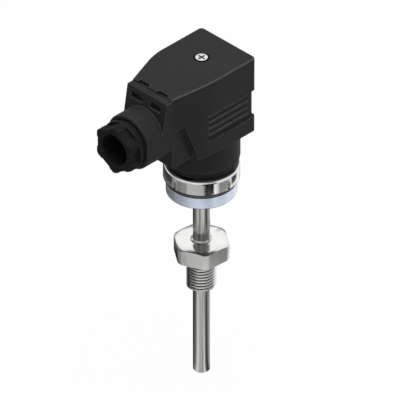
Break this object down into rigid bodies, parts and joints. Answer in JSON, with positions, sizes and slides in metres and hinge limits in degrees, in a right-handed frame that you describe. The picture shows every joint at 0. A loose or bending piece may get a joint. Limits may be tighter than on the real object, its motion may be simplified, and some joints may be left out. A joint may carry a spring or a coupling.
{
  "type": "rtd temperature probe with plug connector head",
  "caption": "Straight steel temperature probe with a threaded hexagon fitting, a round steel cup and a black angled plug connector head with a cable gland.",
  "frame": {"origin": "on the probe's axis, in the underside of the hexagon where the fitting seals", "axes": "+Z along the probe to the head, the cable leaves to -X"},
  "size_m": [0.0585, 0.0282, 0.1384],
  "materials": {
    "drawn_steel": "drawn, fine lengthwise lines",
    "turned_steel": "turned, bright",
    "plated_ring": "bright polished",
    "label_foil": "pale satin foil",
    "housing_polyamide": "black, fine moulded grain",
    "base_polyamide": "black, smooth moulded",
    "gland_polyamide": "black, slightly glossy",
    "seal_rubber": "black, matt",
    "brass": "turned",
    "tinned_brass": "tin plated",
    "plated_screw": "zinc plated",
    "ceramic": "fired, unglazed",
    "lead_sleeve": "extruded sleeve"
  },
  "bodies": {
    "sensor": {"probe_tube": "drawn_steel", "process_fitting": "turned_steel", "rtd_element": "ceramic", "ceramic_insulator": "ceramic", "lead_wire_1": "lead_sleeve", "lead_wire_2": "lead_sleeve", "lead_wire_3": "lead_sleeve", "housing_cup": "turned_steel", "label_band": "label_foil", "crimp_ring": "plated_ring", "connector_base": "base_polyamide", "base_seal_ring": "seal_rubber", "threaded_insert": "brass", "contact_pin_1": "tinned_brass", "contact_pin_2": "tinned_brass", "contact_pin_3": "tinned_brass", "earth_pin": "tinned_brass"},
    "plug": {"plug_housing": "housing_polyamide", "contact_carrier": "base_polyamide", "terminal_1": "tinned_brass", "terminal_2": "tinned_brass", "terminal_3": "tinned_brass", "terminal_earth": "tinned_brass", "clamp_screw_1": "plated_screw", "clamp_screw_2": "plated_screw", "clamp_screw_3": "plated_screw", "clamp_screw_earth": "plated_screw", "cable_grommet": "seal_rubber", "profile_gasket": "seal_rubber"},
    "screw_ring": {"screw_seal_ring": "seal_rubber"},
    "centre_screw": {"centre_screw": "plated_screw"},
    "gland_ring": {"gland_washer": "base_polyamide"},
    "gland_nut": {"gland_nut": "gland_polyamide"}
  },
  "joints": [
    {"name": "plug_pull", "type": "slide", "parent": "sensor", "child": "plug", "axis": [0, 0, 1], "range_m": [0, 0.014]},
    {"name": "screw_rise", "type": "slide", "parent": "plug", "child": "screw_ring", "axis": [0, 0, 1], "range_m": [0, 0.004]},
    {"name": "screw_turn", "type": "hinge", "parent": "screw_ring", "child": "centre_screw", "pos_m": [0, 0, 0.08], "axis": [0, 0, 1], "range_deg": [0, 2900]},
    {"name": "gland_travel", "type": "slide", "parent": "plug", "child": "gland_ring", "axis": [-1, 0, 0], "range_m": [0, 0.00423]},
    {"name": "gland_turn", "type": "hinge", "parent": "gland_ring", "child": "gland_nut", "pos_m": [-0.04, 0, 0.0676], "axis": [-1, 0, 0], "range_deg": [0, 1085]}
  ],
  "couplings": [
    {"joint": "screw_turn", "follows": "screw_rise", "rad_per_m": 12566},
    {"joint": "gland_turn", "follows": "gland_travel", "rad_per_m": 4453}
  ]
}
